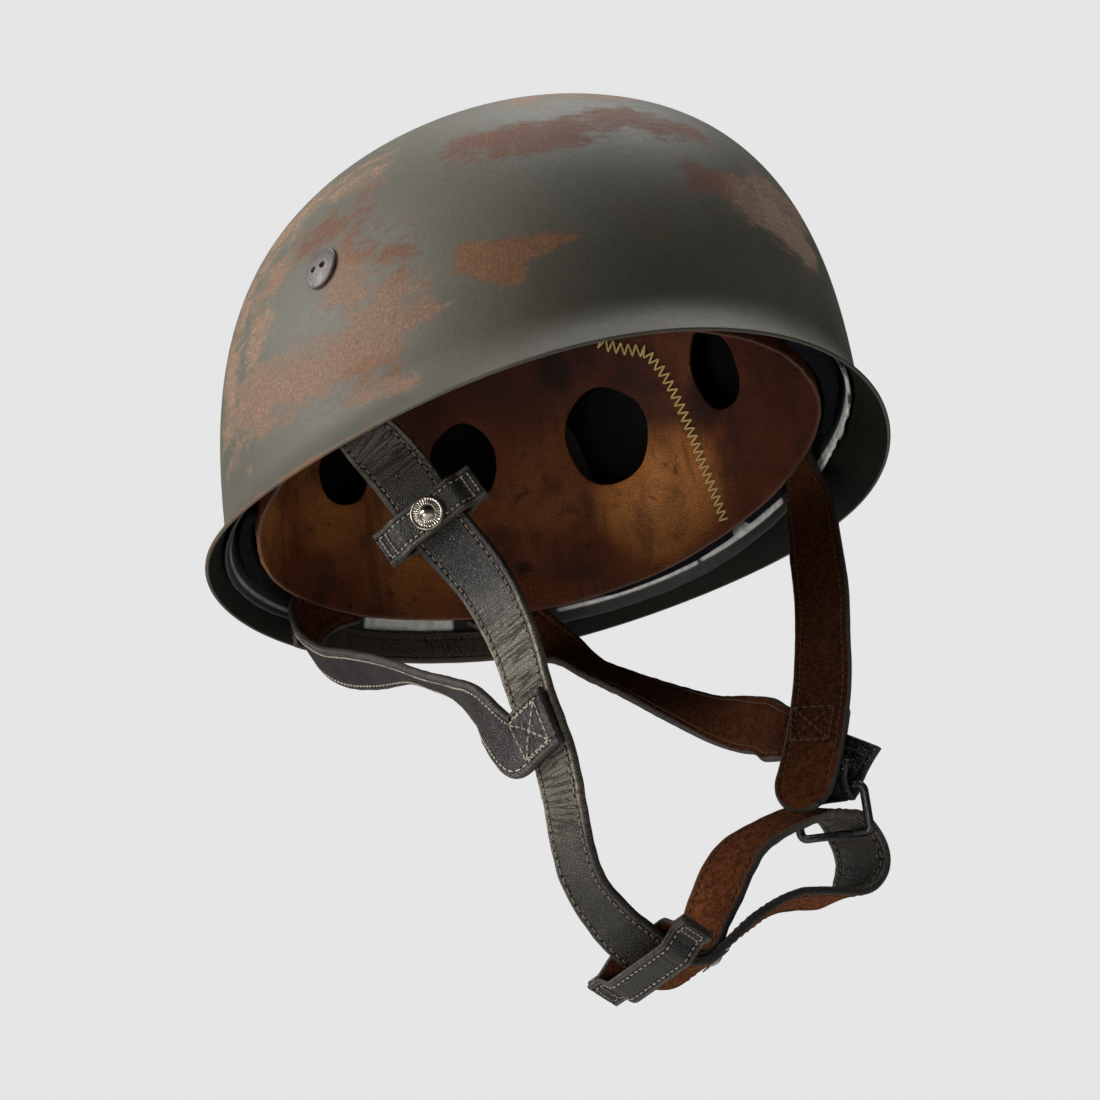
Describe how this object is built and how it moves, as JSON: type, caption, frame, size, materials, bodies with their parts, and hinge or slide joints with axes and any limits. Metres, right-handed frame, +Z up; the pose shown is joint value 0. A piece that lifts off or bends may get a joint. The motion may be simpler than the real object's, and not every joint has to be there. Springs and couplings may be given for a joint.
{
  "type": "paratrooper helmet",
  "caption": "Worn steel paratrooper helmet with a short flared rim, a brown leather liner and a fastened leather chin harness.",
  "frame": {"origin": "middle of the head opening, on the mean plane of the rim", "axes": "+Z up to the crown, -Y to the front of the helmet, +X to the wearer's left"},
  "size_m": [0.2486, 0.2758, 0.3458],
  "materials": {
    "paint": "worn satin grey-green paint with bare tan patches",
    "bolt": "dull",
    "hoop": "dull, light grey",
    "foam": "matte",
    "liner_leather": "aged, stained",
    "strap_leather": "grey-brown grain outside, brown suede inside",
    "stud": "polished, tarnished",
    "buckle": "black, glossy"
  },
  "bodies": {
    "root": {"shell": "paint", "bolt_front_right": "bolt", "bolt_front_left": "bolt", "bolt_rear_right": "bolt", "bolt_rear_left": "bolt", "liner_hoop": "hoop", "pad_1": "foam", "pad_2": "foam", "pad_3": "foam", "pad_4": "foam", "pad_5": "foam", "pad_6": "foam", "pad_7": "foam", "pad_8": "foam", "liner": "liner_leather", "strap_front_right": "strap_leather", "strap_front_left": "strap_leather", "strap_rear_right": "strap_leather", "strap_rear_left": "strap_leather", "nape_strap": "strap_leather", "keeper_upper": "strap_leather", "keeper_lower": "strap_leather", "press_stud_upper": "stud", "press_stud_lower": "stud", "buckle_frame": "buckle", "buckle_tab": "strap_leather"}
  },
  "joints": []
}
